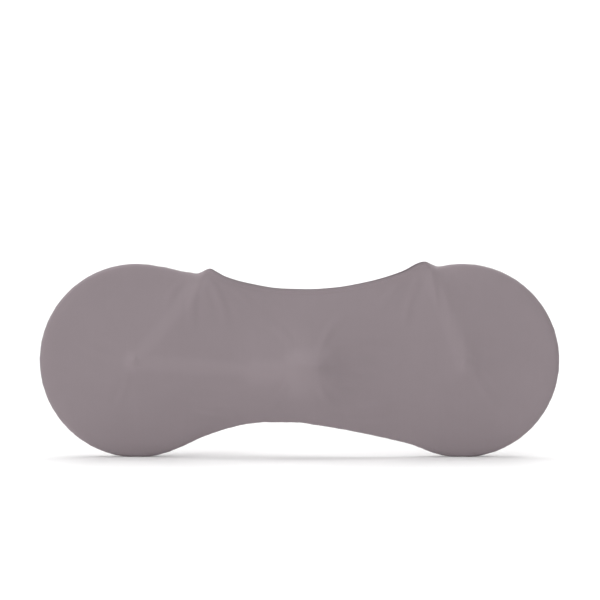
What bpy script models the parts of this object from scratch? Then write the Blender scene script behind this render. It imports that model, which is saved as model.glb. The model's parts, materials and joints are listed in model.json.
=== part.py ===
"""A stretch-knit bicycle cover as worn: two dog-bone panels sewn round their edge, open along the top.

Metres. +X is the cover's front, +Z is up, and Y runs across it, with the right panel at -Y. The origin is
on the floor line, midway between the centres of the two round pockets.

Each panel is one sheet. Seen from the side it fills an outline: two round pockets joined by a waist. Its
distance from the middle plane is found as cloth finds it. Held at the seam and the hem, it is stretched
over the few places that hold it out, and relaxes in between.
"""

import math
from collections import namedtuple

import bpy
import numpy as np

# Driving dimensions.
POCKET_RADIUS = 0.338  # outside of a filled pocket
POCKET_REACH = 0.5685  # from the middle of the cover to a pocket's centre
FLOOR_PRESS = 0.003  # how far a pocket's round is pressed flat by the floor
CENTRE_HEIGHT = POCKET_RADIUS - FLOOR_PRESS

CLOTH = 0.002  # thickness of the knit
HEM_CLOTH = 0.0034  # thickness where the hem is turned in
HEM_DEPTH = 0.014  # from the hem's fold to its stitching
SEAM_GAP = 0.0003  # between the two panels' sewn edges

# The mouth runs from REAR_END to FRONT_END, and its hem turns round each end within MOUTH_TURN.
REAR_END = -0.336
FRONT_END = 0.459
MOUTH_TURN = 0.042

# Side view of the edge between the pockets, whose round it leaves at FREE_FROM and joins at FREE_TO.
# The top edge is seam, the mouth's raised rear end, hem, the mouth's raised front end, and seam again.
EdgePoint = namedtuple("EdgePoint", "x z")
TOP_FREE_FROM, TOP_FREE_TO = -0.500, 0.505
TOP_EDGE = (
    EdgePoint(-0.470, 0.6618),
    EdgePoint(-0.435, 0.6530),
    EdgePoint(-0.395, 0.6450),
    EdgePoint(-0.356, 0.6400),
    EdgePoint(-0.314, 0.6560),
    EdgePoint(-0.290, 0.6445),
    EdgePoint(-0.262, 0.6290),
    EdgePoint(-0.178, 0.6045),
    EdgePoint(-0.060, 0.5860),
    EdgePoint(0.030, 0.5835),
    EdgePoint(0.110, 0.5880),
    EdgePoint(0.246, 0.6110),
    EdgePoint(0.355, 0.6435),
    EdgePoint(0.441, 0.6800),
    EdgePoint(0.460, 0.6715),
    EdgePoint(0.481, 0.6640),
)
BOTTOM_FREE_FROM, BOTTOM_FREE_TO = -0.440, 0.430
BOTTOM_EDGE = (
    EdgePoint(-0.400, 0.0388),
    EdgePoint(-0.360, 0.0585),
    EdgePoint(-0.312, 0.0775),
    EdgePoint(-0.242, 0.1000),
    EdgePoint(-0.172, 0.1145),
    EdgePoint(-0.120, 0.1190),
    EdgePoint(-0.010, 0.1185),
    EdgePoint(0.050, 0.1105),
    EdgePoint(0.150, 0.0943),
    EdgePoint(0.232, 0.0783),
    EdgePoint(0.316, 0.0600),
    EdgePoint(0.385, 0.0430),
)

# How the cloth rounds over at its edge: half the width of that round, and its depth.
EdgeRound = namedtuple("EdgeRound", "x half_width depth")
POCKET_ROUND = 0.0275
TOP_ROUNDS = (
    EdgeRound(-POCKET_REACH, POCKET_ROUND, POCKET_ROUND),
    EdgeRound(-0.460, POCKET_ROUND, POCKET_ROUND),
    EdgeRound(-0.400, 0.0350, 0.0270),
    EdgeRound(REAR_END, 0.0455, 0.0240),
    EdgeRound(FRONT_END, 0.0680, 0.0260),
    EdgeRound(0.500, 0.0400, 0.0270),
    EdgeRound(0.540, POCKET_ROUND, POCKET_ROUND),
    EdgeRound(POCKET_REACH, POCKET_ROUND, POCKET_ROUND),
)
BOTTOM_ROUNDS = (
    EdgeRound(-POCKET_REACH, POCKET_ROUND, POCKET_ROUND),
    EdgeRound(-0.410, POCKET_ROUND, POCKET_ROUND),
    EdgeRound(-0.300, 0.0120, 0.0120),
    EdgeRound(0.330, 0.0120, 0.0120),
    EdgeRound(0.450, POCKET_ROUND, POCKET_ROUND),
    EdgeRound(POCKET_REACH, POCKET_ROUND, POCKET_ROUND),
)

# Half the mouth's width at the hem.
MouthWidth = namedtuple("MouthWidth", "x half_width")
MOUTH = (
    MouthWidth(REAR_END, 0.0450),
    MouthWidth(-0.262, 0.0470),
    MouthWidth(-0.100, 0.0420),
    MouthWidth(0.100, 0.0410),
    MouthWidth(0.280, 0.0520),
    MouthWidth(0.400, 0.0665),
    MouthWidth(FRONT_END, 0.0680),
)

# Where the worn cloth is held out from the middle plane: along a line in the side view, from one distance
# to another. Side 0 is both panels, -1 the right one and +1 the left one.
Prop = namedtuple("Prop", "side x0 z0 out0 x1 z1 out1")
MIDDLE_X, MIDDLE_Z = -0.145, 0.312
PROPS = (
    Prop(0, -POCKET_REACH, CENTRE_HEIGHT, 0.074, -POCKET_REACH, CENTRE_HEIGHT, 0.074),
    Prop(0, -POCKET_REACH, CENTRE_HEIGHT, 0.068, -0.330, 0.622, 0.047),
    Prop(0, -POCKET_REACH, CENTRE_HEIGHT, 0.068, MIDDLE_X, MIDDLE_Z, 0.070),
    Prop(0, POCKET_REACH, CENTRE_HEIGHT, 0.076, POCKET_REACH, CENTRE_HEIGHT, 0.076),
    Prop(0, POCKET_REACH, CENTRE_HEIGHT, 0.072, 0.446, 0.640, 0.072),
    Prop(-1, MIDDLE_X, MIDDLE_Z, 0.092, 0.025, 0.318, 0.118),
    Prop(-1, 0.002, 0.320, 0.132, 0.052, 0.320, 0.132),
    Prop(1, MIDDLE_X, MIDDLE_Z, 0.092, -0.315, 0.306, 0.118),
    Prop(1, -0.342, 0.308, 0.132, -0.292, 0.308, 0.132),
)
PROP_ROUND = 0.022  # radius of a prop's top
PROP_SLOPE = 0.85  # how steeply its sides fall

# Mesh density.
POCKET_SPOKES = 22  # over each pocket's outer half circle
PATCH_SHARES = (0.5, 1.0)  # lines across the patch that the floor presses flat, from its middle to its end
STATION_STEP = 0.032  # between the upright lines across the waist
TURN_STEPS = 6  # round each end of the mouth
EDGE_TURNS_DEG = (0, 18, 33, 50, 69, 90)  # rings round the edge, from the seam
HEM_RINGS = (0, HEM_DEPTH / 2, HEM_DEPTH, HEM_DEPTH + 0.003, 0.024, 0.034)  # the same rings along the hem
HEM_STITCH_RING = 2
INNER_RINGS = 9  # from the edge's round to the spine, the spine included
INNER_SPACING = 1.15  # over 1 puts more rings near the edge
RELAX_ROUNDS = 4000
WEAKEST_PULL = 0.02

COVER_GREY = (0.283, 0.238, 0.254, 1.0)
COVER_ROUGHNESS = 0.85

Column = namedtuple("Column", "edge spine hem half_width depth mouth_share")
Corner = namedtuple("Corner", "column ring depth")


def pocket_height(x, sign):
    """Height of the pockets' upper (+1) or lower (-1) round at x, and its slope there."""
    ahead = x - math.copysign(POCKET_REACH, x)
    rise = math.sqrt(POCKET_RADIUS**2 - ahead**2)
    return CENTRE_HEIGHT + sign * rise, -sign * ahead / rise


def smooth_line(xs, ys, first_slope=0.0, last_slope=0.0):
    """A function through the points that overshoots none of them, with the given slopes at its ends."""
    runs = [b - a for a, b in zip(xs, xs[1:])]
    grades = [(b - a) / run for a, b, run in zip(ys, ys[1:], runs)]
    slopes = [first_slope]
    for before, after, grade, next_grade in zip(runs, runs[1:], grades, grades[1:]):
        if grade * next_grade <= 0:
            slopes.append(0.0)
            continue
        near, far = 2 * after + before, after + 2 * before
        slopes.append((near + far) / (near / grade + far / next_grade))
    slopes.append(last_slope)

    def at(x):
        i = min(max(int(np.searchsorted(xs, x)) - 1, 0), len(runs) - 1)
        t = (x - xs[i]) / runs[i]
        ends = ys[i] * (1 + 2 * t) * (1 - t) ** 2 + ys[i + 1] * t * t * (3 - 2 * t)
        return ends + runs[i] * t * (1 - t) * (slopes[i] * (1 - t) - slopes[i + 1] * t)

    return at


def edge_line(points, free_from, free_to, sign):
    """Height of the upper (+1) or lower (-1) edge at x, from one pocket's centre to the other's."""
    first_z, first_slope = pocket_height(free_from, sign)
    last_z, last_slope = pocket_height(free_to, sign)
    xs = [free_from, *(p.x for p in points), free_to]
    zs = [first_z, *(p.z for p in points), last_z]
    free = smooth_line(xs, zs, first_slope, last_slope)
    return lambda x: free(x) if free_from < x < free_to else pocket_height(x, sign)[0]


def table_lines(rows):
    """One smooth line for each column of a table whose first column is x."""
    return [smooth_line([r[0] for r in rows], [r[k] for r in rows]) for k in range(1, len(rows[0]))]


def spread(start, end):
    """Places from start up to, but without, end, about a station's step apart."""
    count = max(1, round(abs(end - start) / STATION_STEP))
    return [start + (end - start) * k / count for k in range(count)]


def floor_patch():
    """Half the length over which the floor presses a pocket flat."""
    return math.sqrt(POCKET_RADIUS**2 - CENTRE_HEIGHT**2)


def stations():
    """Places along X of the upright lines between the pockets' centres, closer at the ends of the mouth."""
    turn = [MOUTH_TURN * (1 - math.cos(math.pi / 2 * k / TURN_STEPS)) for k in range(TURN_STEPS)]
    patch = [POCKET_REACH - floor_patch() * share for share in (0, *PATCH_SHARES)]
    behind = [*(-x for x in patch), *spread(-patch[-1], REAR_END)[1:], *(REAR_END + t for t in turn)]
    between = [*spread(REAR_END + MOUTH_TURN, FRONT_END - MOUTH_TURN), FRONT_END - MOUTH_TURN]
    ahead = [*(FRONT_END - t for t in reversed(turn)), *spread(FRONT_END, patch[-1])[1:]]
    return [*behind, *between, *ahead, *reversed(patch)]


def mouth_share(x):
    """0 on the seam, 1 on the hem, and round the mouth's ends the share of its width that is reached."""
    into = min(x - REAR_END, FRONT_END - x)
    if into <= 0:
        return 0.0
    return math.sqrt(1 - max(0.0, 1 - into / MOUTH_TURN) ** 2)


def top_columns(xs):
    edge_z = edge_line(TOP_EDGE, TOP_FREE_FROM, TOP_FREE_TO, 1)
    round_half, round_depth = table_lines(TOP_ROUNDS)
    (mouth_half,) = table_lines(MOUTH)
    for x in xs:
        share = mouth_share(x)
        hem = share * mouth_half(x) if share else 0.0
        half = hem if share == 1 else max(round_half(x), hem)
        yield Column((x, edge_z(x)), (x, CENTRE_HEIGHT), hem, half, round_depth(x), share)


def bottom_columns(xs):
    edge_z = edge_line(BOTTOM_EDGE, BOTTOM_FREE_FROM, BOTTOM_FREE_TO, -1)
    round_half, round_depth = table_lines(BOTTOM_ROUNDS)
    for x in xs:
        yield Column((x, edge_z(x)), (x, CENTRE_HEIGHT), 0.0, round_half(x), round_depth(x), 0.0)


def pocket_columns(centre_x, start_deg):
    """The outer half of a pocket, clockwise, without its first and last points."""
    patch = [math.degrees(math.asin(share * floor_patch() / POCKET_RADIUS)) for share in PATCH_SHARES]
    turned = [180 * k / POCKET_SPOKES for k in range(1, POCKET_SPOKES)]
    turned += [180 - a for a in patch] if start_deg == 90 else patch
    for angle in sorted(turned):
        a = math.radians(start_deg - angle)
        edge = (centre_x + POCKET_RADIUS * math.cos(a), CENTRE_HEIGHT + POCKET_RADIUS * math.sin(a))
        yield Column(edge, (centre_x, CENTRE_HEIGHT), 0.0, POCKET_ROUND, POCKET_ROUND, 0.0)


def panel_columns():
    """The edge's points in order: over the top, down round the front pocket, and back underneath."""
    xs = stations()
    front = pocket_columns(POCKET_REACH, 90)
    rear = pocket_columns(-POCKET_REACH, 270)
    return [*top_columns(xs), *front, *bottom_columns(xs[::-1]), *rear]


def ring_depths(column):
    """How far in from the edge each ring of this column lies, the spine left out."""
    rounded = [column.depth * (1 - math.cos(math.radians(a))) for a in EDGE_TURNS_DEG]
    depths = [r + (h - r) * column.mouth_share for r, h in zip(rounded, HEM_RINGS)]
    rest = math.dist(column.edge, column.spine) - depths[-1]
    inner = [depths[-1] + rest * (k / INNER_RINGS) ** INNER_SPACING for k in range(1, INNER_RINGS)]
    return depths + inner


def panel_drawing(columns):
    """The panel drawn flat: its points, a corner for each one, its triangles and its border's points."""
    points, corners, rows = [], [], []
    for c in columns:
        length = math.dist(c.edge, c.spine)
        rows.append([])
        for ring, depth in enumerate(ring_depths(c)):
            rows[-1].append(len(points))
            points.append([e + (s - e) * depth / length for e, s in zip(c.edge, c.spine)])
            corners.append(Corner(c, ring, depth))
    spine = {}
    for row, c in zip(rows, columns):
        if c.spine not in spine:
            spine[c.spine] = len(points)
            points.append(list(c.spine))
            corners.append(None)
        row.append(spine[c.spine])

    triangles = []
    for here, there in zip(rows, rows[1:] + rows[:1]):
        for a, b, c, d in zip(here, here[1:], there[1:], there):
            triangles.append((a, d, b))
            if b != c:
                triangles.append((b, d, c))
    return np.array(points), corners, triangles, [row[0] for row in rows]


def pulls(points, triangles):
    """How strongly each point of an even sheet pulls on its neighbours: cotangents of facing corners."""
    pairs = {}
    for t in triangles:
        for a, b, facing in (t, t[1:] + t[:1], t[2:] + t[:2]):
            u, v = points[a] - points[facing], points[b] - points[facing]
            cotangent = (u @ v) / abs(u[0] * v[1] - u[1] * v[0])
            key = (min(a, b), max(a, b))
            pairs[key] = pairs.get(key, 0.0) + cotangent
    ends = np.array(list(pairs))
    strength = np.maximum(list(pairs.values()), WEAKEST_PULL)
    return np.concatenate([ends, ends[:, ::-1]]), np.concatenate([strength, strength])


def held_out(points, side):
    """The least distance from the middle plane that the props leave each point of one panel."""
    least = np.zeros(len(points))
    for p in PROPS:
        if p.side == -side:
            continue
        start, end = np.array([p.x0, p.z0]), np.array([p.x1, p.z1])
        along = end - start
        share = np.clip((points - start) @ along / max(along @ along, 1e-9), 0, 1)
        away = np.linalg.norm(points - start - share[:, None] * along, axis=1)
        top = p.out0 + (p.out1 - p.out0) * share
        least = np.maximum(least, top - PROP_SLOPE * (np.hypot(away, PROP_ROUND) - PROP_ROUND))
    return least


def round_widths(columns, side):
    """Half the width of the edge's round at each column: it reaches what holds the cloth out inside it."""
    inner_ends = []
    for c in columns:
        share = c.depth / math.dist(c.edge, c.spine)
        inner_ends.append([e + (s - e) * share for e, s in zip(c.edge, c.spine)])
    widths = np.maximum([c.half_width for c in columns], held_out(np.array(inner_ends), side))
    return dict(zip(columns, widths))


def least_out(points, corners, columns, side):
    """The least distance from the middle plane: the edge's round near the edge, and the props inside it."""
    least = np.maximum(held_out(points, side), SEAM_GAP / 2)
    widths = round_widths(columns, side)
    for k, corner in enumerate(corners):
        if corner is None or corner.depth > corner.column.depth:
            continue
        c = corner.column
        turned = 1 - (1 - corner.depth / c.depth) ** 2
        least[k] = max(SEAM_GAP / 2, math.sqrt(c.hem**2 + (widths[c] ** 2 - c.hem**2) * turned))
    return least


def relaxed(points, triangles, border, least):
    """Distance from the middle plane once the cloth, held at its border, has relaxed."""
    ends, strength = pulls(points, triangles)
    total = np.bincount(ends[:, 0], strength, len(points))
    out = least.copy()
    for _ in range(RELAX_ROUNDS):
        mean = np.bincount(ends[:, 0], strength * out[ends[:, 1]], len(points)) / total
        mean[border] = least[border]
        out = np.maximum(mean, least)
    return out


def outward(verts, triangles, border, columns):
    """Unit normals of the outer face. Along the seam they lie in the middle plane, square to the edge."""
    t = np.array(triangles)
    face = np.cross(verts[t[:, 1]] - verts[t[:, 0]], verts[t[:, 2]] - verts[t[:, 0]])
    normals = np.zeros_like(verts)
    for k in range(3):
        np.add.at(normals, t[:, k], face)
    edge = verts[border]
    along = np.roll(edge, -1, axis=0) - np.roll(edge, 1, axis=0)
    for k, c in enumerate(columns):
        if c.mouth_share == 0:
            normals[border[k]] = (-along[k][2], 0.0, along[k][0])
    return normals / np.linalg.norm(normals, axis=1)[:, None]


def thickness(corner):
    """The hem is turned in, so the cloth is thicker down to its stitching."""
    if corner is None or corner.ring > HEM_STITCH_RING:
        return CLOTH
    return CLOTH + (HEM_CLOTH - CLOTH) * corner.column.mouth_share


def panel(name, side, material):
    """One panel as a closed sheet: its outer face, its inner face and the narrow edge between them."""
    columns = panel_columns()
    points, corners, triangles, border = panel_drawing(columns)
    least = least_out(points, corners, columns, side)
    out = relaxed(points, triangles, border, least)

    outer = np.column_stack([points[:, 0], out, points[:, 1]])
    normals = outward(outer, triangles, border, columns)
    inner = outer - normals * np.array([thickness(c) for c in corners])[:, None]
    inner[:, 1] = np.maximum(inner[:, 1], SEAM_GAP / 2)
    inner[:, 2] = np.maximum(inner[:, 2], CLOTH)
    outer[:, 2] = np.maximum(outer[:, 2], 0.0)

    count = len(points)
    faces = triangles + [(a + count, c + count, b + count) for a, b, c in triangles]
    for a, b in zip(border, border[1:] + border[:1]):
        faces += [(a, a + count, b + count), (a, b + count, b)]
    verts = np.concatenate([outer, inner])
    if side < 0:
        verts[:, 1] *= -1
        faces = [f[::-1] for f in faces]

    mesh = bpy.data.meshes.new(name)
    mesh.from_pydata(verts.tolist(), [], faces)
    mesh.materials.append(material)
    mesh.shade_smooth()
    mesh.set_sharp_from_angle(angle=math.radians(50))
    bpy.context.collection.objects.link(bpy.data.objects.new(name, mesh))


def cover_material():
    material = bpy.data.materials.new("cover_knit")
    material.use_nodes = True
    shader = material.node_tree.nodes["Principled BSDF"]
    shader.inputs["Base Color"].default_value = COVER_GREY
    shader.inputs["Roughness"].default_value = COVER_ROUGHNESS
    shader.inputs["Metallic"].default_value = 0.0
    return material


def main():
    for obj in list(bpy.data.objects):
        bpy.data.objects.remove(obj)
    knit = cover_material()
    panel("right_panel", -1, knit)
    panel("left_panel", 1, knit)


main()
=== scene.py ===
import json
import math
from collections import namedtuple

import bpy
import numpy as np
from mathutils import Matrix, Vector
from mathutils.bvhtree import BVHTree

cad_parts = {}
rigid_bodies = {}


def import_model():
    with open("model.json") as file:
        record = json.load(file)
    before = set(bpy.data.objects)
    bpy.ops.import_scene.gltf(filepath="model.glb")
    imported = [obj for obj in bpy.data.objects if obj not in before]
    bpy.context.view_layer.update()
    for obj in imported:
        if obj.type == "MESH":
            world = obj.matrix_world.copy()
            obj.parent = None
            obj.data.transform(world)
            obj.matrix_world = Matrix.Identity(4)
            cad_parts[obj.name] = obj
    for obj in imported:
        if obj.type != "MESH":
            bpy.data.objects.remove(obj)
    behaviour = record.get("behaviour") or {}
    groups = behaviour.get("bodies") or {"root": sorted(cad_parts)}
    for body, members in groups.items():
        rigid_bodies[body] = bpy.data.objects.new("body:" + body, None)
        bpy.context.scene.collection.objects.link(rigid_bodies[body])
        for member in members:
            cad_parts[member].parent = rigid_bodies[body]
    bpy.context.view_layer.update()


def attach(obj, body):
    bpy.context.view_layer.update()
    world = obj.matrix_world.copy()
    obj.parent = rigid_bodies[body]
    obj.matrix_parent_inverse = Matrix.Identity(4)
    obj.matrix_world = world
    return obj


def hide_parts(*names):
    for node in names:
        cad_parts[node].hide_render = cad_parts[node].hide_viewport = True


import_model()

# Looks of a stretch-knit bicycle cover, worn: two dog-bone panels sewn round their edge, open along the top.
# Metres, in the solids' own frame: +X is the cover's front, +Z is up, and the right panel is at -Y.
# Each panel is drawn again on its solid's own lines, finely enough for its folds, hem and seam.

# Driving dimensions, as in the solids.
POCKET_RADIUS = 0.338
POCKET_REACH = 0.5685
FLOOR_PRESS = 0.003
CENTRE_HEIGHT = POCKET_RADIUS - FLOOR_PRESS
SEAM_GAP = 0.0003
REAR_END = -0.336
FRONT_END = 0.459
MOUTH_TURN = 0.042

# The cloth itself, thinner than the solids that stand in for it.
CLOTH = 0.0012
HEM_CLOTH = 0.0026
HEM_STAND = 0.0002  # how far the turned-in layer lifts the face
STRETCH = 1.08  # worn length over cut length, each way

EdgePoint = namedtuple("EdgePoint", "x z")
TOP_FREE_FROM, TOP_FREE_TO = -0.500, 0.505
TOP_EDGE = (
    EdgePoint(-0.470, 0.6618),
    EdgePoint(-0.435, 0.6530),
    EdgePoint(-0.395, 0.6450),
    EdgePoint(-0.356, 0.6400),
    EdgePoint(-0.314, 0.6560),
    EdgePoint(-0.290, 0.6445),
    EdgePoint(-0.262, 0.6290),
    EdgePoint(-0.178, 0.6045),
    EdgePoint(-0.060, 0.5860),
    EdgePoint(0.030, 0.5835),
    EdgePoint(0.110, 0.5880),
    EdgePoint(0.246, 0.6110),
    EdgePoint(0.355, 0.6435),
    EdgePoint(0.441, 0.6800),
    EdgePoint(0.460, 0.6715),
    EdgePoint(0.481, 0.6640),
)
BOTTOM_FREE_FROM, BOTTOM_FREE_TO = -0.440, 0.430
BOTTOM_EDGE = (
    EdgePoint(-0.400, 0.0388),
    EdgePoint(-0.360, 0.0585),
    EdgePoint(-0.312, 0.0775),
    EdgePoint(-0.242, 0.1000),
    EdgePoint(-0.172, 0.1145),
    EdgePoint(-0.120, 0.1190),
    EdgePoint(-0.010, 0.1185),
    EdgePoint(0.050, 0.1105),
    EdgePoint(0.150, 0.0943),
    EdgePoint(0.232, 0.0783),
    EdgePoint(0.316, 0.0600),
    EdgePoint(0.385, 0.0430),
)

EdgeRound = namedtuple("EdgeRound", "x half_width depth")
POCKET_ROUND = 0.0275
TOP_ROUNDS = (
    EdgeRound(-POCKET_REACH, POCKET_ROUND, POCKET_ROUND),
    EdgeRound(-0.460, POCKET_ROUND, POCKET_ROUND),
    EdgeRound(-0.400, 0.0350, 0.0270),
    EdgeRound(REAR_END, 0.0455, 0.0240),
    EdgeRound(FRONT_END, 0.0680, 0.0260),
    EdgeRound(0.500, 0.0400, 0.0270),
    EdgeRound(0.540, POCKET_ROUND, POCKET_ROUND),
    EdgeRound(POCKET_REACH, POCKET_ROUND, POCKET_ROUND),
)
BOTTOM_ROUNDS = (
    EdgeRound(-POCKET_REACH, POCKET_ROUND, POCKET_ROUND),
    EdgeRound(-0.410, POCKET_ROUND, POCKET_ROUND),
    EdgeRound(-0.300, 0.0120, 0.0120),
    EdgeRound(0.330, 0.0120, 0.0120),
    EdgeRound(0.450, POCKET_ROUND, POCKET_ROUND),
    EdgeRound(POCKET_REACH, POCKET_ROUND, POCKET_ROUND),
)

MouthWidth = namedtuple("MouthWidth", "x half_width")
MOUTH = (
    MouthWidth(REAR_END, 0.0450),
    MouthWidth(-0.262, 0.0470),
    MouthWidth(-0.100, 0.0420),
    MouthWidth(0.100, 0.0410),
    MouthWidth(0.280, 0.0520),
    MouthWidth(0.400, 0.0665),
    MouthWidth(FRONT_END, 0.0680),
)

# What holds the cloth out, as in the solids. Side 0 is both panels, -1 the right one and +1 the left one.
Prop = namedtuple("Prop", "side x0 z0 out0 x1 z1 out1")
MIDDLE_X, MIDDLE_Z = -0.145, 0.312
PROPS = (
    Prop(0, -POCKET_REACH, CENTRE_HEIGHT, 0.074, -POCKET_REACH, CENTRE_HEIGHT, 0.074),
    Prop(0, -POCKET_REACH, CENTRE_HEIGHT, 0.068, -0.330, 0.622, 0.047),
    Prop(0, -POCKET_REACH, CENTRE_HEIGHT, 0.068, MIDDLE_X, MIDDLE_Z, 0.070),
    Prop(0, POCKET_REACH, CENTRE_HEIGHT, 0.076, POCKET_REACH, CENTRE_HEIGHT, 0.076),
    Prop(0, POCKET_REACH, CENTRE_HEIGHT, 0.072, 0.446, 0.640, 0.072),
    Prop(-1, MIDDLE_X, MIDDLE_Z, 0.092, 0.025, 0.318, 0.118),
    Prop(-1, 0.002, 0.320, 0.132, 0.052, 0.320, 0.132),
    Prop(1, MIDDLE_X, MIDDLE_Z, 0.092, -0.315, 0.306, 0.118),
    Prop(1, -0.342, 0.308, 0.132, -0.292, 0.308, 0.132),
)
PROP_ROUND = 0.022
PROP_SLOPE = 0.85

# Soft folds where the cloth is pulled: a ridge along a bowed line with a shallow hollow on each side, which
# widens along the line and fades at both ends. Side is as for the props.
Fold = namedtuple("Fold", "side x0 z0 x1 z1 bow half_width height")
FOLDS = (
    # down and inward from the mouth's rear end
    Fold(0, -0.322, 0.640, -0.250, 0.430, 0.016, 0.013, 0.0030),
    Fold(0, -0.345, 0.628, -0.372, 0.430, -0.012, 0.012, 0.0024),
    Fold(0, -0.290, 0.632, -0.150, 0.500, 0.014, 0.010, 0.0018),
    Fold(0, -0.385, 0.632, -0.470, 0.500, -0.016, 0.012, 0.0020),
    # down and inward from the mouth's front end
    Fold(0, 0.430, 0.655, 0.365, 0.420, -0.018, 0.014, 0.0032),
    Fold(0, 0.400, 0.650, 0.270, 0.500, -0.014, 0.011, 0.0022),
    Fold(0, 0.478, 0.640, 0.520, 0.470, 0.012, 0.012, 0.0024),
    Fold(0, 0.505, 0.638, 0.610, 0.520, 0.018, 0.011, 0.0018),
    # across the waist, from one pocket towards the other
    Fold(0, -0.430, 0.230, -0.060, 0.205, -0.020, 0.018, 0.0026),
    Fold(0, -0.390, 0.180, -0.150, 0.160, -0.010, 0.012, 0.0020),
    Fold(0, 0.060, 0.190, 0.400, 0.200, -0.022, 0.017, 0.0028),
    Fold(0, 0.120, 0.150, 0.360, 0.140, -0.014, 0.011, 0.0020),
    Fold(0, 0.090, 0.400, 0.420, 0.330, 0.020, 0.020, 0.0022),
    # round the bulge over the right side's low middle
    Fold(-1, -0.010, 0.355, -0.150, 0.500, -0.020, 0.014, 0.0026),
    Fold(-1, 0.060, 0.350, 0.170, 0.510, 0.016, 0.015, 0.0026),
    Fold(-1, 0.075, 0.300, 0.290, 0.270, -0.014, 0.014, 0.0026),
    Fold(-1, -0.030, 0.285, -0.120, 0.165, 0.012, 0.012, 0.0022),
    Fold(-1, 0.060, 0.285, 0.130, 0.170, -0.010, 0.012, 0.0022),
    # round the bulge over the left side's rear
    Fold(1, -0.345, 0.350, -0.430, 0.520, 0.016, 0.014, 0.0024),
    Fold(1, -0.270, 0.345, -0.120, 0.500, 0.020, 0.016, 0.0028),
    Fold(1, -0.260, 0.290, -0.040, 0.260, -0.014, 0.015, 0.0026),
    Fold(1, -0.300, 0.275, -0.250, 0.150, -0.012, 0.012, 0.0022),
    # out from the pockets' centres
    Fold(0, -0.590, 0.310, -0.660, 0.140, 0.010, 0.013, 0.0014),
    Fold(0, -0.610, 0.350, -0.790, 0.420, 0.014, 0.016, 0.0012),
    Fold(0, 0.600, 0.320, 0.700, 0.170, -0.012, 0.014, 0.0014),
    Fold(0, 0.610, 0.360, 0.790, 0.440, -0.014, 0.016, 0.0012),
)
FOLD_WIDTH, FOLD_WIDENING = 0.7, 0.6  # at its start, and what it gains by its end, in half widths
FOLD_FADE = 1.3  # over 1 makes the ends lower
HOLLOW_DEPTH = 0.45  # of the ridge's height
HOLLOW_PLACE = 1.9  # from the ridge, in half widths
FOLDS_FROM, FOLDS_RAMP = 0.010, 0.035  # depth from the edge where they begin, and the run to full height

# The seam lies in a groove, with small uneven gathers beside it.
SEAM_GROOVE = 0.0009
SEAM_GROOVE_WIDTH = 0.0014
GATHER_LENGTHS = (0.031, 0.047, 0.073)
GATHER_SHIFT = 1.7  # between one length's waves and the next's, in radians
GATHER_HEIGHT = 0.0008
GATHER_RAMP = 0.004  # from the seam to their full height
GATHER_REACH = 0.016  # from the seam to where they have mostly faded

# The hem rolls in at its fold, and the layer that is turned in ends behind the second row of stitches.
HEM_ROLL = (0.00085, 0.00025)
FOLD_THINNED = 0.7  # share of the turned-in layer that is lost in the fold's round
LAYER_RAMP = 0.0012  # over which the layer's end tapers

# Thread: its half width, and how far the hem's stitches draw the cloth in.
THREAD = 0.00032
THREAD_SIDES = 6
STITCH_SINK = 0.0004
STITCH_PITCH = 0.0038
STITCH_ARCH = (-0.9, 0.7, 0.7, -0.9)  # a stitch's points over the cloth, in half widths of its thread
STITCH_STEPS = len(STITCH_ARCH)
BEHIND_HEM = 0.0001  # between the hem and the thread behind it
LINE_STEP = 0.003  # between the places that a row of stitches runs through
LINE_TURNS_DEG = np.arange(0.5, 90, 1.5)  # round each end of the mouth

# The seam's thread shows as bars across the groove, apart from where the floor presses the seam.
BarPoint = namedtuple("BarPoint", "across height")
SEAM_BAR = (
    BarPoint(-0.0013, 0.00005),
    BarPoint(-0.0005, 0.00042),
    BarPoint(0.0005, 0.00042),
    BarPoint(0.0013, 0.00005),
)
BAR_PITCH = 0.0034
BAR_SLANT = 0.35  # along the seam, for each unit across it
BAR_THREAD = THREAD * 0.7
ON_FLOOR = 0.001  # bars lower than this are left out

# Mesh density. The rings run in from the edge: as turns of the seam's round, and as depths along the hem.
POCKET_SPOKES = 112
PATCH_SHARES = (0.25, 0.5, 0.75, 1.0)
PATCH_CLEARANCE_DEG = 0.8  # between a spoke and the lines across the floor's patch
STATION_STEP = 0.0078
FINE_STEP = 0.0017  # just beyond the mouth's ends, where the hem's stitches cross the seam
FINE_REACH = 0.017
TURN_STEPS = 12
EDGE_TURNS_DEG = (0, 2.5, 5, 8, 12, 17, 23, 29, 35, 41, 48, 55, 63, 71, 80, 90)
HEM_RINGS = (
    *(0.0, 0.0007, 0.0018, 0.0034, 0.0053, 0.0072, 0.0082, 0.0090),
    *(0.0098, 0.0129, 0.0137, 0.0145, 0.0153, 0.0185, 0.0230, 0.0290),
)
STITCH_RINGS = (7, 10)
LAYER_RING = 11  # where the turned-in layer ends
INNER_RINGS = 46
INNER_SPACING = 1.03  # over 1 puts more rings near the edge
SHARP_DEG = 60  # edges that turn more than this are shaded as sharp

# Relaxing the cloth.
RAY_START = 0.3  # from the middle plane, beyond the widest place
RELAX_ROUNDS = 1200
SOFTEN_ROUNDS = 14
SOFTEN_FROM = 0.012  # depth from the edge: none up to half of it, full from one and a half
WEAKEST_PULL = 0.02
ROUND_FALL = 0.16  # radius with which the edge's round eases off into the open cloth
PRESSED_WITHIN = 0.012  # cloth this close to what holds it out is a little worn

COVER_GREY = (0.283, 0.238, 0.254, 1.0)

Column = namedtuple("Column", "edge spine hem half_width depth mouth_share on_top")
Panel = namedtuple("Panel", "sheet outer normals flat area")


def pocket_height(x, sign):
    """Height of the pockets' upper (+1) or lower (-1) round at x, and its slope there."""
    ahead = x - math.copysign(POCKET_REACH, x)
    rise = math.sqrt(POCKET_RADIUS**2 - ahead**2)
    return CENTRE_HEIGHT + sign * rise, -sign * ahead / rise


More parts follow.
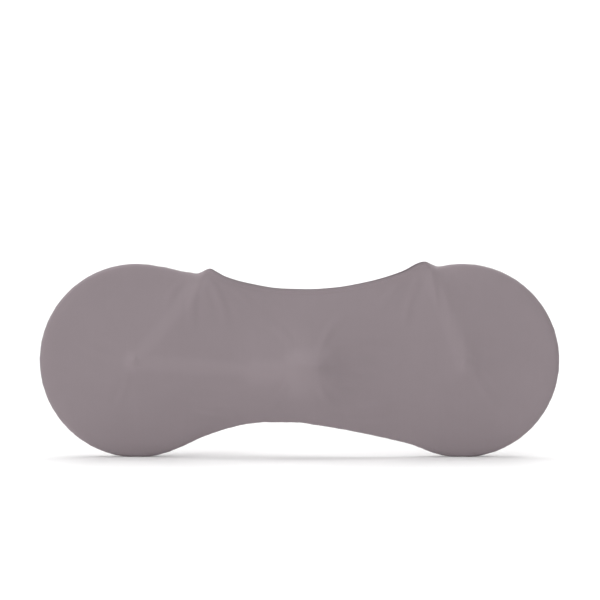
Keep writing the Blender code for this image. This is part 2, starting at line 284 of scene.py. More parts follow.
def smooth_line(xs, ys, first_slope=0.0, last_slope=0.0):
    """A function through the points that overshoots none of them, with the given slopes at its ends."""
    runs = [b - a for a, b in zip(xs, xs[1:])]
    grades = [(b - a) / run for a, b, run in zip(ys, ys[1:], runs)]
    slopes = [first_slope]
    for before, after, grade, next_grade in zip(runs, runs[1:], grades, grades[1:]):
        if grade * next_grade <= 0:
            slopes.append(0.0)
            continue
        near, far = 2 * after + before, after + 2 * before
        slopes.append((near + far) / (near / grade + far / next_grade))
    slopes.append(last_slope)

    def at(x):
        i = min(max(int(np.searchsorted(xs, x)) - 1, 0), len(runs) - 1)
        t = (x - xs[i]) / runs[i]
        ends = ys[i] * (1 + 2 * t) * (1 - t) ** 2 + ys[i + 1] * t * t * (3 - 2 * t)
        return ends + runs[i] * t * (1 - t) * (slopes[i] * (1 - t) - slopes[i + 1] * t)

    return at


def edge_line(points, free_from, free_to, sign):
    """Height of the upper (+1) or lower (-1) edge at x, from one pocket's centre to the other's."""
    first_z, first_slope = pocket_height(free_from, sign)
    last_z, last_slope = pocket_height(free_to, sign)
    xs = [free_from, *(p.x for p in points), free_to]
    zs = [first_z, *(p.z for p in points), last_z]
    free = smooth_line(xs, zs, first_slope, last_slope)
    return lambda x: free(x) if free_from < x < free_to else pocket_height(x, sign)[0]


def table_lines(rows):
    """One smooth line for each column of a table whose first column is x."""
    return [smooth_line([r[0] for r in rows], [r[k] for r in rows]) for k in range(1, len(rows[0]))]


def spread(start, end, step=STATION_STEP):
    """Places from start up to, but without, end, about a step apart."""
    count = max(1, round(abs(end - start) / step))
    return [start + (end - start) * k / count for k in range(count)]


def floor_patch():
    """Half the length over which the floor presses a pocket flat."""
    return math.sqrt(POCKET_RADIUS**2 - CENTRE_HEIGHT**2)


def stations():
    """Places along X of the upright lines between the pockets' centres, closer at the ends of the mouth."""
    turn = [MOUTH_TURN * (1 - math.cos(math.pi / 2 * k / TURN_STEPS)) for k in range(TURN_STEPS)]
    patch = [POCKET_REACH - floor_patch() * share for share in (0, *PATCH_SHARES)]
    behind = [*(-x for x in patch), *spread(-patch[-1], REAR_END - FINE_REACH)[1:]]
    behind += [*spread(REAR_END - FINE_REACH, REAR_END, FINE_STEP), *(REAR_END + t for t in turn)]
    between = [*spread(REAR_END + MOUTH_TURN, FRONT_END - MOUTH_TURN), FRONT_END - MOUTH_TURN]
    ahead = [FRONT_END - t for t in reversed(turn)]
    ahead += spread(FRONT_END, FRONT_END + FINE_REACH, FINE_STEP)[1:]
    ahead += spread(FRONT_END + FINE_REACH, patch[-1])
    return [*behind, *between, *ahead, *reversed(patch)]


def mouth_share(x):
    """0 on the seam, 1 on the hem, and round the mouth's ends the share of its width that it has reached."""
    into = min(x - REAR_END, FRONT_END - x)
    if into <= 0:
        return 0.0
    return math.sqrt(1 - max(0.0, 1 - into / MOUTH_TURN) ** 2)


def top_columns(xs):
    """Columns along the top, where the edge is seam, then hem, and then seam again."""
    edge_z = edge_line(TOP_EDGE, TOP_FREE_FROM, TOP_FREE_TO, 1)
    round_half, round_depth = table_lines(TOP_ROUNDS)
    (mouth_half,) = table_lines(MOUTH)
    for x in xs:
        share = mouth_share(x)
        hem = share * mouth_half(x) if share else 0.0
        half = hem if share == 1 else max(round_half(x), hem)
        yield Column((x, edge_z(x)), (x, CENTRE_HEIGHT), hem, half, round_depth(x), share, True)


def bottom_columns(xs):
    """Columns along the bottom, which is seam all the way."""
    edge_z = edge_line(BOTTOM_EDGE, BOTTOM_FREE_FROM, BOTTOM_FREE_TO, -1)
    round_half, round_depth = table_lines(BOTTOM_ROUNDS)
    for x in xs:
        yield Column((x, edge_z(x)), (x, CENTRE_HEIGHT), 0.0, round_half(x), round_depth(x), 0.0, False)


def pocket_columns(centre_x, start_deg):
    """The outer half of a pocket, clockwise, without its first and last points."""
    patch = [math.degrees(math.asin(share * floor_patch() / POCKET_RADIUS)) for share in PATCH_SHARES]
    if start_deg == 90:
        patch = [180 - a for a in patch]
    spokes = [180 * k / POCKET_SPOKES for k in range(1, POCKET_SPOKES)]
    clear = [a for a in spokes if all(abs(a - p) > PATCH_CLEARANCE_DEG for p in patch)]
    for angle in sorted(clear + patch):
        a = math.radians(start_deg - angle)
        edge = (centre_x + POCKET_RADIUS * math.cos(a), CENTRE_HEIGHT + POCKET_RADIUS * math.sin(a))
        yield Column(edge, (centre_x, CENTRE_HEIGHT), 0.0, POCKET_ROUND, POCKET_ROUND, 0.0, False)


def panel_columns():
    """The edge's points in order: over the top, down round the front pocket, and back underneath."""
    xs = stations()
    front = pocket_columns(POCKET_REACH, 90)
    rear = pocket_columns(-POCKET_REACH, 270)
    return [*top_columns(xs), *front, *bottom_columns(xs[::-1]), *rear]


def ring_depths(column):
    """How far in from the edge each ring of this column lies, up to the spine."""
    rounded = [column.depth * (1 - math.cos(math.radians(a))) for a in EDGE_TURNS_DEG]
    depths = [r + (h - r) * column.mouth_share for r, h in zip(rounded, HEM_RINGS)]
    rest = math.dist(column.edge, column.spine) - depths[-1]
    inner = [depths[-1] + rest * (k / INNER_RINGS) ** INNER_SPACING for k in range(1, INNER_RINGS + 1)]
    return depths + inner


class Drawing:
    """A panel drawn flat: a grid of columns and rings, whose spine points are shared between columns."""

    def __init__(self):
        self.columns = panel_columns()
        self.depth = np.array([ring_depths(c) for c in self.columns])
        edge = np.array([c.edge for c in self.columns])
        spine = np.array([c.spine for c in self.columns])
        length = np.linalg.norm(spine - edge, axis=1)
        self.inward = (spine - edge) / length[:, None]
        grid = edge[:, None, :] + self.inward[:, None, :] * self.depth[:, :, None]
        rows, rings = self.depth.shape
        index = np.arange(rows * (rings - 1)).reshape(rows, rings - 1)
        shared, which = np.unique(spine.round(6), axis=0, return_inverse=True)
        self.index = np.column_stack([index, index.size + which.ravel()])
        self.points = np.concatenate([grid[:, :-1].reshape(-1, 2), shared])
        self.border = self.index[:, 0]
        self.share = np.array([c.mouth_share for c in self.columns])

        # two triangles between each pair of columns and rings, and one at a spine point that both share
        here, there = self.index, np.roll(self.index, -1, axis=0)
        a, b, c, d = here[:, :-1], here[:, 1:], there[:, 1:], there[:, :-1]
        first_half = np.stack([a, d, b], axis=-1).reshape(-1, 3)
        second_half = np.stack([b, d, c], axis=-1).reshape(-1, 3)
        second_half = second_half[second_half[:, 0] != second_half[:, 2]]
        self.triangles = np.concatenate([first_half, second_half])

    def on_points(self, grid):
        """Values on the grid as values on the points."""
        values = np.zeros(len(self.points))
        values[self.index] = grid
        return values

    def along_rings(self, values):
        """One value for each column as values on the points."""
        return self.on_points(np.repeat(values[:, None], self.depth.shape[1], axis=1))


def pulls(points, triangles):
    """How strongly each point of an even sheet pulls on its neighbours: cotangents of facing corners."""
    ends, strength = [], []
    for a, b, facing in ((0, 1, 2), (1, 2, 0), (2, 0, 1)):
        u = points[triangles[:, a]] - points[triangles[:, facing]]
        v = points[triangles[:, b]] - points[triangles[:, facing]]
        ends.append(np.sort(triangles[:, (a, b)], axis=1))
        strength.append((u * v).sum(axis=1) / np.abs(u[:, 0] * v[:, 1] - u[:, 1] * v[:, 0]))
    pairs, which = np.unique(np.concatenate(ends), axis=0, return_inverse=True)
    strength = np.maximum(np.bincount(which.ravel(), np.concatenate(strength)), WEAKEST_PULL)
    return np.concatenate([pairs, pairs[:, ::-1]]), np.concatenate([strength, strength])


def along_line(points, x0, z0, x1, z1):
    """Each point's share of the way along a line, held to its ends, and its distance from there."""
    start, along = np.array([x0, z0]), np.array([x1 - x0, z1 - z0])
    share = np.clip((points - start) @ along / max(along @ along, 1e-9), 0, 1)
    return share, points - start - share[:, None] * along


def held_out(points, side):
    """The least distance from the middle plane that the props leave each point of one panel."""
    least = np.zeros(len(points))
    for p in PROPS:
        if p.side == -side:
            continue
        share, away = along_line(points, p.x0, p.z0, p.x1, p.z1)
        top = p.out0 + (p.out1 - p.out0) * share
        fall = np.hypot(np.linalg.norm(away, axis=1), PROP_ROUND) - PROP_ROUND
        least = np.maximum(least, top - PROP_SLOPE * fall)
    return least


def least_out(drawing, side):
    """The least distance from the middle plane: the edge's round near the edge, and the props inside it."""
    depth = np.array([[c.depth] for c in drawing.columns])
    hem = np.array([[c.hem] for c in drawing.columns])
    inner_ends = np.array([c.edge for c in drawing.columns]) + drawing.inward * depth
    half = np.maximum([c.half_width for c in drawing.columns], held_out(inner_ends, side))[:, None]
    short = np.maximum(1 - drawing.depth / depth, 0)
    beyond = np.maximum(drawing.depth - depth, 0)
    rounded = np.sqrt(hem**2 + (half**2 - hem**2) * (1 - short**2)) - beyond**2 / (2 * ROUND_FALL)
    propped = held_out(drawing.points, side)
    inside = drawing.on_points((drawing.depth > depth).astype(float))
    return np.maximum(np.maximum(drawing.on_points(rounded), propped * inside), SEAM_GAP / 2)


def first_guess(points, side):
    """The solid's distance from the middle plane at each point, or 0 where it has none."""
    node = bpy.data.objects["right_panel" if side < 0 else "left_panel"]
    solid = BVHTree.FromObject(node, bpy.context.evaluated_depsgraph_get())
    inward = Vector((0, -side, 0))
    hits = (solid.ray_cast(Vector((x, side * RAY_START, z)), inward)[0] for x, z in points)
    return np.array([0.0 if hit is None else abs(hit.y) for hit in hits])


def relaxed(drawing, least, guess):
    """Distance from the middle plane once the cloth, held at its border, has relaxed."""
    ends, strength = pulls(drawing.points, drawing.triangles)
    total = np.bincount(ends[:, 0], strength, len(least))
    out = np.maximum(guess, least)
    calm = np.clip(drawing.on_points(drawing.depth) / SOFTEN_FROM - 0.5, 0, 1)
    for k in range(RELAX_ROUNDS + SOFTEN_ROUNDS):
        mean = np.bincount(ends[:, 0], strength * out[ends[:, 1]], len(least)) / total
        mean[drawing.border] = least[drawing.border]
        if k < RELAX_ROUNDS:
            out = np.maximum(mean, least)
        else:
            out = out + (mean - out) * calm
    return out


def folded(points, side):
    """How far the folds lift each point."""
    lift = np.zeros(len(points))
    for f in FOLDS:
        if f.side == -side:
            continue
        share, away = along_line(points, f.x0, f.z0, f.x1, f.z1)
        run = np.array([f.x1 - f.x0, f.z1 - f.z0])
        across = np.array([-run[1], run[0]]) / np.linalg.norm(run)
        off_line = away @ across
        width = f.half_width * (FOLD_WIDTH + FOLD_WIDENING * share)
        sideways = (off_line - f.bow * 4 * share * (1 - share)) / width
        hollow = HOLLOW_DEPTH * np.exp(-((np.abs(sideways) - HOLLOW_PLACE) ** 2))
        ridge = np.exp(-(sideways**2)) - hollow
        beyond = np.linalg.norm(away - off_line[:, None] * across, axis=1) / f.half_width
        taper = np.sin(np.pi * share) ** FOLD_FADE * np.exp(-(beyond**2))
        lift += f.height * ridge * taper
    return lift


def gathered(drawing):
    """Uneven gathers along the seam, as a share of their height, for each column."""
    edge = drawing.points[drawing.border]
    steps = np.linalg.norm(np.roll(edge, -1, axis=0) - edge, axis=1)
    run = np.concatenate([[0], np.cumsum(steps)])
    waves = np.zeros(len(edge))
    for k, wave in enumerate(GATHER_LENGTHS):
        turns = round(run[-1] / wave)
        waves += np.sin(2 * math.pi * turns * run[:-1] / run[-1] + GATHER_SHIFT * k) / len(GATHER_LENGTHS)
    return waves * (1 - drawing.share)


def outward(verts, drawing):
    """Unit normals of the outer face. Along the seam they lie in the middle plane, square to the edge."""
    t = drawing.triangles
    face = np.cross(verts[t[:, 1]] - verts[t[:, 0]], verts[t[:, 2]] - verts[t[:, 0]])
    normals = np.zeros_like(verts)
    for k in range(3):
        np.add.at(normals, t[:, k], face)
    edge = verts[drawing.border]
    along = np.roll(edge, -1, axis=0) - np.roll(edge, 1, axis=0)
    square = np.column_stack([-along[:, 2], np.zeros(len(along)), along[:, 0]])
    seam = drawing.share == 0
    normals[drawing.border[seam]] = square[seam]
    return normals / np.linalg.norm(normals, axis=1)[:, None]


def add_attribute(mesh, name, kind, values):
    attribute = mesh.attributes.new(name, kind, "POINT")
    field = "vector" if kind == "FLOAT_VECTOR" else "value"
    attribute.data.foreach_set(field, np.asarray(values, dtype=np.float32).ravel())


def add_mesh(name, verts, faces, material):
    mesh = bpy.data.meshes.new(name)
    mesh.from_pydata(verts.tolist(), [], faces)
    mesh.materials.append(material)
    mesh.shade_smooth()
    obj = bpy.data.objects.new(name, mesh)
    bpy.context.collection.objects.link(obj)
    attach(obj, "root")
    return obj


def from_edges(drawing, outer):
    """Lengths along the worn cloth from the edge, on the grid."""
    steps = np.linalg.norm(np.diff(outer[drawing.index], axis=1), axis=2)
    return np.concatenate([np.zeros((len(steps), 1)), np.cumsum(steps, axis=1)], axis=1)


def cut_places(drawing, from_edge):
    """Where each point lies on the cloth as it was cut: its column is laid out straight from the spine."""
    reach = from_edge[:, -1:] - from_edge
    spine = np.array([c.spine for c in drawing.columns])
    places = spine[:, None, :] - drawing.inward[:, None, :] * reach[:, :, None]
    cut = np.zeros((len(drawing.points), 3))
    cut[drawing.index, 0] = places[:, :, 0]
    cut[drawing.index, 1] = places[:, :, 1]
    return cut


def hem_reach(x, inside):
    """How far from its edge an upright column at x meets the line that runs inside the hem's fold, or -1.

    Beyond the ends of the mouth that line rounds them and meets the seam.
    """
    (mouth_half,) = table_lines(MOUTH)
    past_end = max(REAR_END - x, x - FRONT_END)
    ahead = max(MOUTH_TURN + past_end, 0.0)
    if ahead > MOUTH_TURN + inside:
        return -1.0
    half = mouth_half(min(max(x, REAR_END), FRONT_END))
    line = (half + inside) * math.sqrt(1 - (ahead / (MOUTH_TURN + inside)) ** 2)
    return line - half * mouth_share(x)


def turned_in(drawing, edge_run):
    """The share of the hem's turned-in layer that lies behind each point.

    It ends on a ring along the mouth, and at a length from the edge round the mouth's ends.
    """
    inside = HEM_RINGS[LAYER_RING]
    reach = np.array([hem_reach(c.edge[0], inside) if c.on_top else -1.0 for c in drawing.columns])
    by_length = np.clip((reach[:, None] - edge_run) / LAYER_RAMP + 0.5, 0, 1)
    by_ring = np.arange(drawing.depth.shape[1]) <= LAYER_RING
    layer = np.where(drawing.share[:, None] == 1, by_ring[None, :], by_length)
    layer[:, 0] *= 1 - FOLD_THINNED * drawing.share
    return drawing.on_points(layer)


def drawn_in(drawing):
    """How far the hem's fold and its stitches draw the face in at each point."""
    rings = np.zeros(drawing.depth.shape[1])
    rings[: len(HEM_ROLL)] = HEM_ROLL
    rings[list(STITCH_RINGS)] = STITCH_SINK
    return drawing.on_points(np.outer(drawing.share, rings))


def beside_seam(drawing, from_edge, hem):
    """How far the seam's gathers lift the face, less the groove that the seam lies in."""
    fade = np.exp(-((from_edge / GATHER_REACH) ** 2)) * np.clip(from_edge / GATHER_RAMP, 0, 1)
    gathers = drawing.along_rings(gathered(drawing)) * fade * GATHER_HEIGHT
    groove = SEAM_GROOVE * np.exp(-((from_edge / SEAM_GROOVE_WIDTH) ** 2)) * (1 - hem)
    return gathers - groove


def closed_faces(drawing):
    """Faces of a closed sheet whose outer points come first: both of its faces, and the rim between them."""
    count = len(drawing.points)
    here, there = drawing.border, np.roll(drawing.border, -1)
    return np.concatenate(
        [
            drawing.triangles,
            drawing.triangles[:, (0, 2, 1)] + count,
            np.column_stack([here, here + count, there + count]),
            np.column_stack([here, there + count, there]),
        ]
    )


def cut_size(drawing, outer, cut):
    """Width and length of the piece that was cut for this panel, and its area."""
    length, width = np.ptp(cut[:, :2], axis=0) / STRETCH
    a, b, c = (outer[drawing.triangles[:, k]] for k in range(3))
    worn_area = np.linalg.norm(np.cross(b - a, c - a), axis=1).sum() / 2
    return (round(width, 3), round(length, 3)), round(worn_area / STRETCH**2, 3)


def panel(name, side, drawing, material):
    """One panel as a closed sheet, with what the knit reads from its points."""
    points = drawing.points
    out = relaxed(drawing, least_out(drawing, side), first_guess(points, side))
    inland = np.clip((drawing.on_points(drawing.depth) - FOLDS_FROM) / FOLDS_RAMP, 0, 1)
    out = out + folded(points, side) * inland * inland * (3 - 2 * inland)

    outer = np.column_stack([points[:, 0], out, points[:, 1]])
    normals = outward(outer, drawing)
    edge_run = from_edges(drawing, outer)
    cut, from_edge = cut_places(drawing, edge_run), drawing.on_points(edge_run)
    hem = drawing.along_rings(drawing.share)
    layer, roll = turned_in(drawing, edge_run), drawn_in(drawing)
    lift = beside_seam(drawing, from_edge, hem) - roll + layer * HEM_STAND
    thick = CLOTH + (HEM_CLOTH - CLOTH) * layer - roll
    outer = outer + normals * lift[:, None]
    inner = outer - normals * thick[:, None]
    for face, lowest in ((outer, 0.0), (inner, CLOTH)):
        face[:, 1] = np.maximum(face[:, 1], SEAM_GAP / 2)
        face[:, 2] = np.maximum(face[:, 2], lowest)

    verts = np.concatenate([outer, inner])
    verts[:, 1] *= side
    faces = closed_faces(drawing)
    if side < 0:
        faces = faces[:, ::-1]
    obj = add_mesh(name, verts, faces.tolist(), material)
    obj.data.set_sharp_from_angle(angle=math.radians(SHARP_DEG))
    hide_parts("right_panel" if side < 0 else "left_panel")

    pressed = np.clip(1 - (out - held_out(points, side)) / PRESSED_WITHIN, 0, 1) * inland
    for attribute, kind, values in (
        ("cut", "FLOAT_VECTOR", cut),
        ("from_edge", "FLOAT", from_edge),
        ("hem", "FLOAT", hem),
        ("pressed", "FLOAT", pressed),
    ):
        add_attribute(obj.data, attribute, kind, np.concatenate([values, values]))
    return Panel(obj, outer, normals, *cut_size(drawing, outer, cut))


# Materials.


class Nodes:
    """A material's node tree, with short calls for the sums that the knit needs."""

    def __init__(self, name):
        self.material = bpy.data.materials.new(name)
        self.material.use_nodes = True
        self.tree = self.material.node_tree
        self.shader = self.tree.nodes["Principled BSDF"]

    def make(self, kind, settings=(), **inputs):
        node = self.tree.nodes.new(kind)
        for key, value in dict(settings).items():
            setattr(node, key, value)
        for key, value in inputs.items():
            self.feed(node.inputs[key.replace("_", " ")], value)
        return node

    def feed(self, socket, value):
        if isinstance(value, bpy.types.NodeSocket):
            self.tree.links.new(value, socket)
        else:
            socket.default_value = value

    def math(self, operation, *values, clamp=False):
        node = self.tree.nodes.new("ShaderNodeMath")
        node.operation = operation
        node.use_clamp = clamp
        for socket, value in zip(node.inputs, values):
            self.feed(socket, value)
        return node.outputs[0]

    def attribute(self, name, output="Fac"):
        return self.make("ShaderNodeAttribute", {"attribute_name": name}).outputs[output]

    def noise(self, where, scale, detail=2.0):
        node = self.make("ShaderNodeTexNoise", Vector=where, Scale=scale, Detail=detail)
        return self.math("SUBTRACT", node.outputs["Fac"], 0.5)


# The knit's loops: wales are columns of them and courses are rows.
WALE, COURSE = 0.0013, 0.0011
LOOP_LEAN = 0.45  # how far a wale's sides run ahead of its middle, in courses
WALE_SHARE, LOOP_SHARE = 0.72, 0.28

# Unevenness to the metre: loose fibres, dye, and streaks along the wales.
FUZZ, MOTTLE, STREAKS = 900.0, 9.0, (160.0, 4.0, 1.0)

# The seam is darker, and its stitches pucker the knit beside it.
SEAM_SHADE, SEAM_SHADE_WIDTH = 0.28, 0.0032
PUCKERS, PUCKER_HEIGHT, PUCKER_REACH = 120.0, 0.0011, 0.022

# Relief of the knit, and the thread's twist to the metre.
LOOP_HEIGHT, FUZZ_HEIGHT, MOTTLE_HEIGHT = 0.00016, 0.00008, 0.0010
PLY = 2600.0


def loops(n, cut):
    """The height of the knit's loops, from 0 to 1: each wale is a rounded column, leaning to both sides."""
    split = n.make("ShaderNodeSeparateXYZ", Vector=cut)
    u, v = split.outputs["X"], split.outputs["Y"]
    wale = n.math("FRACT", n.math("MULTIPLY", u, 1 / WALE))
    aside = n.math("ABSOLUTE", n.math("MULTIPLY_ADD", wale, 2.0, -1.0))
    round_wale = n.math("SUBTRACT", 1.0, n.math("MULTIPLY", aside, aside))
    course = n.math("MULTIPLY_ADD", v, 1 / COURSE, n.math("MULTIPLY", aside, LOOP_LEAN))
    rows = n.math("COSINE", n.math("MULTIPLY", course, 2 * math.pi))
    return n.math("MULTIPLY_ADD", rows, LOOP_SHARE, n.math("MULTIPLY", round_wale, WALE_SHARE))


def tinted(n, shade):
    """The cover's grey, times a shade."""
    grey = n.make("ShaderNodeVectorMath", {"operation": "SCALE"}, Scale=shade)
    grey.inputs[0].default_value = COVER_GREY[:3]
    return grey.outputs[0]


def fading(n, distance, width):
    """1 at the edge, falling to 0 at a width from it."""
    return n.math("SUBTRACT", 1.0, n.math("DIVIDE", distance, width), clamp=True)


def knit_material():
    """Fine stretch jersey: wales of small loops, a soft sheen, and slightly uneven dye."""
    n = Nodes("cover_knit_worn")
    cut = n.attribute("cut", "Vector")
    from_edge, hem, pressed = n.attribute("from_edge"), n.attribute("hem"), n.attribute("pressed")
    knit = loops(n, cut)
    fuzz = n.noise(cut, FUZZ)
    mottle = n.noise(cut, MOTTLE, 3.0)
    drawn_out = n.make("ShaderNodeVectorMath", {"operation": "MULTIPLY"})
    n.feed(drawn_out.inputs[0], cut)
    drawn_out.inputs[1].default_value = STREAKS
    streak = n.noise(drawn_out.outputs[0], 1.0)

    # shade: it darkens between the loops and at the seam, varies with the dye, and lightens where it is worn
    shade = n.math("MULTIPLY_ADD", knit, 0.10, 0.93)
    for part, amount in ((fuzz, 0.10), (mottle, 0.045), (streak, 0.030), (pressed, 0.05)):
        shade = n.math("ADD", shade, n.math("MULTIPLY", part, amount))
    on_seam = n.math("MULTIPLY", fading(n, from_edge, SEAM_SHADE_WIDTH), n.math("SUBTRACT", 1.0, hem))
    shade = n.math("SUBTRACT", shade, n.math("MULTIPLY", on_seam, SEAM_SHADE))
    n.feed(n.shader.inputs["Base Color"], tinted(n, shade))

    # finish: rough with a soft sheen, and a little smoother where it is worn
    rough = n.math("MULTIPLY_ADD", fuzz, 0.12, n.math("MULTIPLY_ADD", pressed, -0.06, 0.84))
    n.feed(n.shader.inputs["Roughness"], rough)
    n.shader.inputs["Specular IOR Level"].default_value = 0.25
    n.shader.inputs["Sheen Weight"].default_value = 0.22
    n.shader.inputs["Sheen Roughness"].default_value = 0.45
    n.shader.inputs["Sheen Tint"].default_value = (0.80, 0.74, 0.77, 1.0)

    # relief: loops, loose fibres and small puckers beside the seam
    beside = n.math("MULTIPLY", fading(n, from_edge, PUCKER_REACH), PUCKER_HEIGHT)
    puckers = n.math("MULTIPLY", n.noise(cut, PUCKERS, 1.0), beside)
    height = n.math("MULTIPLY_ADD", knit, LOOP_HEIGHT, puckers)
    height = n.math("MULTIPLY_ADD", fuzz, FUZZ_HEIGHT, height)
    height = n.math("MULTIPLY_ADD", mottle, MOTTLE_HEIGHT, height)
    bump = n.make("ShaderNodeBump", Height=height, Distance=1.0, Strength=0.8)
    n.feed(n.shader.inputs["Normal"], bump.outputs["Normal"])
    return n.material


def thread_material():
    """Polyester sewing thread, a little lighter and shinier than the knit."""
    n = Nodes("cover_thread")
    where = n.make("ShaderNodeTexCoord").outputs["Object"]
    ply = n.noise(where, PLY, 1.0)
    n.feed(n.shader.inputs["Base Color"], tinted(n, n.math("MULTIPLY_ADD", ply, 0.35, 1.30)))
    n.feed(n.shader.inputs["Roughness"], n.math("MULTIPLY_ADD", ply, 0.2, 0.55))
    n.shader.inputs["Sheen Weight"].default_value = 0.1
    bump = n.make("ShaderNodeBump", Height=ply, Distance=0.0002, Strength=0.6)
    n.feed(n.shader.inputs["Normal"], bump.outputs["Normal"])
    return n.material


# Sewing.


def evenly(line, normals, count):
    """A line and its normals at a number of even steps of its length."""
    run = np.concatenate([[0], np.cumsum(np.linalg.norm(np.diff(line, axis=0), axis=1))])
    places = np.linspace(0, run[-1], count)
    at = [np.interp(places, run, line[:, k]) for k in range(3)]
    up = [np.interp(places, run, normals[:, k]) for k in range(3)]
    return np.column_stack(at), np.column_stack(up)


def resampled(line, normals, step):
    """A line and its normals at even steps of about the length given."""
    length = np.linalg.norm(np.diff(line, axis=0), axis=1).sum()
    return evenly(line, normals, round(length / step) + 1)


def directions(line):
    """Unit vectors along a line at its points."""
    along = np.gradient(line, axis=0)
    return along / np.linalg.norm(along, axis=1)[:, None]


def tube(line, normals, half_width):
    """A thread along a line on the cloth, as points and faces."""
    across = np.cross(directions(line), normals)
    across /= np.linalg.norm(across, axis=1)[:, None]
    turns = np.radians(np.arange(THREAD_SIDES) * 360.0 / THREAD_SIDES)[None, :, None]
    ring = np.cos(turns) * across[:, None, :] + np.sin(turns) * normals[:, None, :]
    verts = (line[:, None, :] + ring * half_width).reshape(-1, 3)
    first_ring = range(THREAD_SIDES)
    last_ring = range(len(verts) - THREAD_SIDES, len(verts))
    faces = [tuple(first_ring), tuple(reversed(last_ring))]
    for start in range(0, len(verts) - THREAD_SIDES, THREAD_SIDES):
        for j in first_ring:
            a, b = start + j, start + (j + 1) % THREAD_SIDES
            faces.append((a, a + THREAD_SIDES, b + THREAD_SIDES, b))
    return verts, faces


def joined(name, parts, material):
    """Separate threads as one piece."""
    verts, faces, start = [], [], 0
    for points, polygons in parts:
        verts.append(points)
        faces += [tuple(i + start for i in p) for p in polygons]
        start += len(points)
    return add_mesh(name, np.concatenate(verts), faces, material)


def beside_hem(drawing, outer, normals, inside):
    """The line that runs inside the hem's fold, from the seam at one end of the mouth to the other's."""
    top = np.flatnonzero([c.on_top for c in drawing.columns])
    xs = np.array([drawing.columns[k].edge[0] for k in top])
    run = from_edges(drawing, outer)
    turn = (MOUTH_TURN + inside) * (1 - np.cos(np.radians(LINE_TURNS_DEG)))
    sides = np.arange(REAR_END + MOUTH_TURN, FRONT_END - MOUTH_TURN, LINE_STEP)
    line, up = [], []
    for x in [*(REAR_END - inside + turn), *sides, *(FRONT_END + inside - turn[::-1])]:
        after = int(np.clip(np.searchsorted(xs, x), 1, len(xs) - 1))
        share = (x - xs[after - 1]) / (xs[after] - xs[after - 1])
        reach = max(hem_reach(x, inside), 0.0)
        for values, made in ((outer, line), (normals, up)):
            ends = []
            for k in (top[after - 1], top[after]):
                column = values[drawing.index[k]]
                ends.append([np.interp(reach, run[k], column[:, axis]) for axis in range(3)])
            made.append(np.array(ends[0]) * (1 - share) + np.array(ends[1]) * share)
    return np.array(line), np.array(up)


def stitch_row(line, up):
    """Short stitches end to end: each comes up out of the cloth, lies on it and goes down again."""
    line, up = resampled(line, up, STITCH_PITCH / STITCH_STEPS)
    proud = THREAD * np.array(STITCH_ARCH)[:, None]
    for start in range(0, len(line) - STITCH_STEPS, STITCH_STEPS):
        here = slice(start, start + STITCH_STEPS)
        yield tube(line[here] + up[here] * proud, up[here], THREAD)


def looped_thread(first_row, second_row):
    """The thread behind the hem, which swings from one row of stitches to the other and back."""
    count = len(resampled(*first_row, STITCH_PITCH / STITCH_STEPS)[0])
    first, up = evenly(*first_row, count)
    second, _ = evenly(*second_row, count)
    swing = (0.5 + 0.5 * np.cos(np.arange(count) * 2 * math.pi / STITCH_STEPS))[:, None]
    behind = first * swing + second * (1 - swing) - up * (HEM_CLOTH + BEHIND_HEM)
    return tube(behind, up, THREAD)


def hem_stitches(name, side, drawing, cloth, material):
    """Two rows of short stitches on the hem's face, and the looped thread that joins them behind it."""
    flip = np.array([1.0, side, 1.0])
    outer, normals = cloth.outer * flip, cloth.normals * flip
    rows = [beside_hem(drawing, outer, normals, HEM_RINGS[ring]) for ring in STITCH_RINGS]
    parts = [stitch for row in rows for stitch in stitch_row(*row)]
    return joined(name, [*parts, looped_thread(*rows)], material)


def seam_threads(name, drawing, cloth, material):
    """The seam's threads, which show as small bars across its groove where the cloth is stretched."""
    seam = np.flatnonzero(drawing.share == 0)
    start = int(np.flatnonzero(np.diff(seam) > 1)[0]) + 1
    border = drawing.border[np.roll(seam, -start)]
    line, up = resampled(cloth.outer[border], cloth.normals[border], BAR_PITCH)
    across, height = np.array(SEAM_BAR).T
    parts = []
    for point, lift, ahead in zip(line[1:-1], up[1:-1], directions(line)[1:-1]):
        if point[2] < ON_FLOOR:
            continue
        slant = np.outer(across * BAR_SLANT, ahead)
        bar = point + np.outer(height, lift) + np.outer(across, (0, 1, 0)) + slant
        parts.append(tube(bar, np.tile(lift, (len(bar), 1)), BAR_THREAD))
    return joined(name, parts, material)


# Studio.


def pale(name, glow):
    """Matt white that also shines by itself."""
    material = bpy.data.materials.new(name)
    material.use_nodes = True
    shader = material.node_tree.nodes["Principled BSDF"]
    shader.inputs["Base Color"].default_value = (0.95, 0.95, 0.95, 1.0)
    shader.inputs["Roughness"].default_value = 1.0
    shader.inputs["Specular IOR Level"].default_value = 0.0
    shader.inputs["Emission Color"].default_value = (1.0, 1.0, 1.0, 1.0)
    shader.inputs["Emission Strength"].default_value = glow
    return material


FLOOR_MIDDLE = 0.001  # radius of the floor's innermost ring
STUDIO_RADIUS, WALL_HEIGHT = 40.0, 60.0
STAGE_STEPS = 72
SKY = 0.30  # strength of the white sky
Light = namedtuple("Light", "name height_deg turn_deg spread_deg strength")
LIGHTS = (
    Light("overhead", 80, 180, 60, 2.2),
    Light("back", 16, 180, 18, 0.9),
    Light("key", 18, -42, 30, 0.9),
    Light("front", 45, 0, 40, 0.35),
)


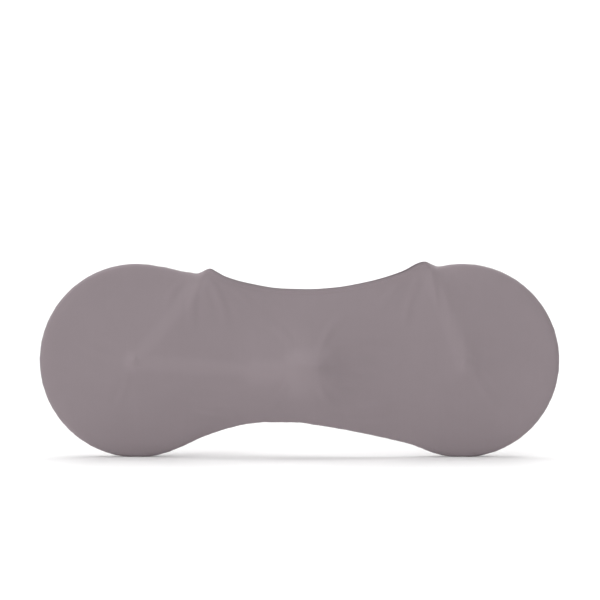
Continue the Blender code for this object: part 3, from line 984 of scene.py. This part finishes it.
def stage_ring(name, profile, material):
    """A surface of revolution round the studio's middle, from (radius, height) pairs."""
    turns = [math.radians(360 / STAGE_STEPS * k) for k in range(STAGE_STEPS)]
    verts = [(r * math.cos(a), r * math.sin(a), z) for r, z in profile for a in turns]
    faces = []
    for start in range(0, len(verts) - STAGE_STEPS, STAGE_STEPS):
        for j in range(STAGE_STEPS):
            a, b = start + j, start + (j + 1) % STAGE_STEPS
            faces.append((a, b, b + STAGE_STEPS, a + STAGE_STEPS))
    mesh = bpy.data.meshes.new(name)
    mesh.from_pydata(verts, [], faces)
    mesh.materials.append(material)
    obj = bpy.data.objects.new(name, mesh)
    bpy.context.collection.objects.link(obj)
    return obj


def studio():
    """A plain white floor with a white wall far round it, a pale sky and soft lights."""
    floor_edge, wall_top = (STUDIO_RADIUS, 0.0), (STUDIO_RADIUS, WALL_HEIGHT)
    stage_ring("studio_floor", ((FLOOR_MIDDLE, 0.0), floor_edge), pale("studio_floor_white", 0.0))
    wall = stage_ring("studio_wall", (floor_edge, wall_top), pale("studio_wall_white", 1.0))
    wall.visible_diffuse = False
    wall.visible_glossy = False
    wall.visible_shadow = False

    world = bpy.data.worlds.new("studio_sky")
    bpy.context.scene.world = world
    world.use_nodes = True
    sky = world.node_tree.nodes["Background"]
    sky.inputs["Color"].default_value = (1, 1, 1, 1)
    sky.inputs["Strength"].default_value = SKY
    for light in LIGHTS:
        data = bpy.data.lights.new(light.name, "SUN")
        data.energy = light.strength
        data.angle = math.radians(light.spread_deg)
        lamp = bpy.data.objects.new(light.name, data)
        rise, turn = math.radians(light.height_deg), math.radians(light.turn_deg)
        level = math.cos(rise)
        towards = Vector((level * math.sin(turn), -level * math.cos(turn), math.sin(rise)))
        lamp.rotation_euler = (-towards).to_track_quat("-Z", "Y").to_euler()
        bpy.context.collection.objects.link(lamp)


FRAME_WIDTH = 2.092  # what the picture spans at the cover's middle plane
AIM = Vector((0.0017, 0.0, 0.5468))
CAMERA_RISE_DEG = 2.2
LENS_MM, SENSOR_MM = 150.0, 36.0


def camera():
    """The side view, from far off and slightly above."""
    data = bpy.data.cameras.new("camera")
    data.lens = LENS_MM
    data.sensor_width = SENSOR_MM
    distance = FRAME_WIDTH * LENS_MM / SENSOR_MM
    rise = math.radians(CAMERA_RISE_DEG)
    away = Vector((0, -math.cos(rise), math.sin(rise)))
    obj = bpy.data.objects.new("camera", data)
    obj.location = AIM + away * distance
    obj.rotation_euler = (-away).to_track_quat("-Z", "Y").to_euler()
    bpy.context.collection.objects.link(obj)
    bpy.context.scene.camera = obj


def main():
    bpy.context.scene.view_settings.view_transform = "Standard"
    camera()
    studio()
    knit, thread = knit_material(), thread_material()
    drawing = Drawing()
    for side, name in ((-1, "right"), (1, "left")):
        cloth = panel(f"{name}_panel_cloth", side, drawing, knit)
        sewn = [hem_stitches(f"{name}_hem_stitches", side, drawing, cloth, thread)]
        if side < 0:
            sewn.append(seam_threads("seam_stitches", drawing, cloth, thread))


main()
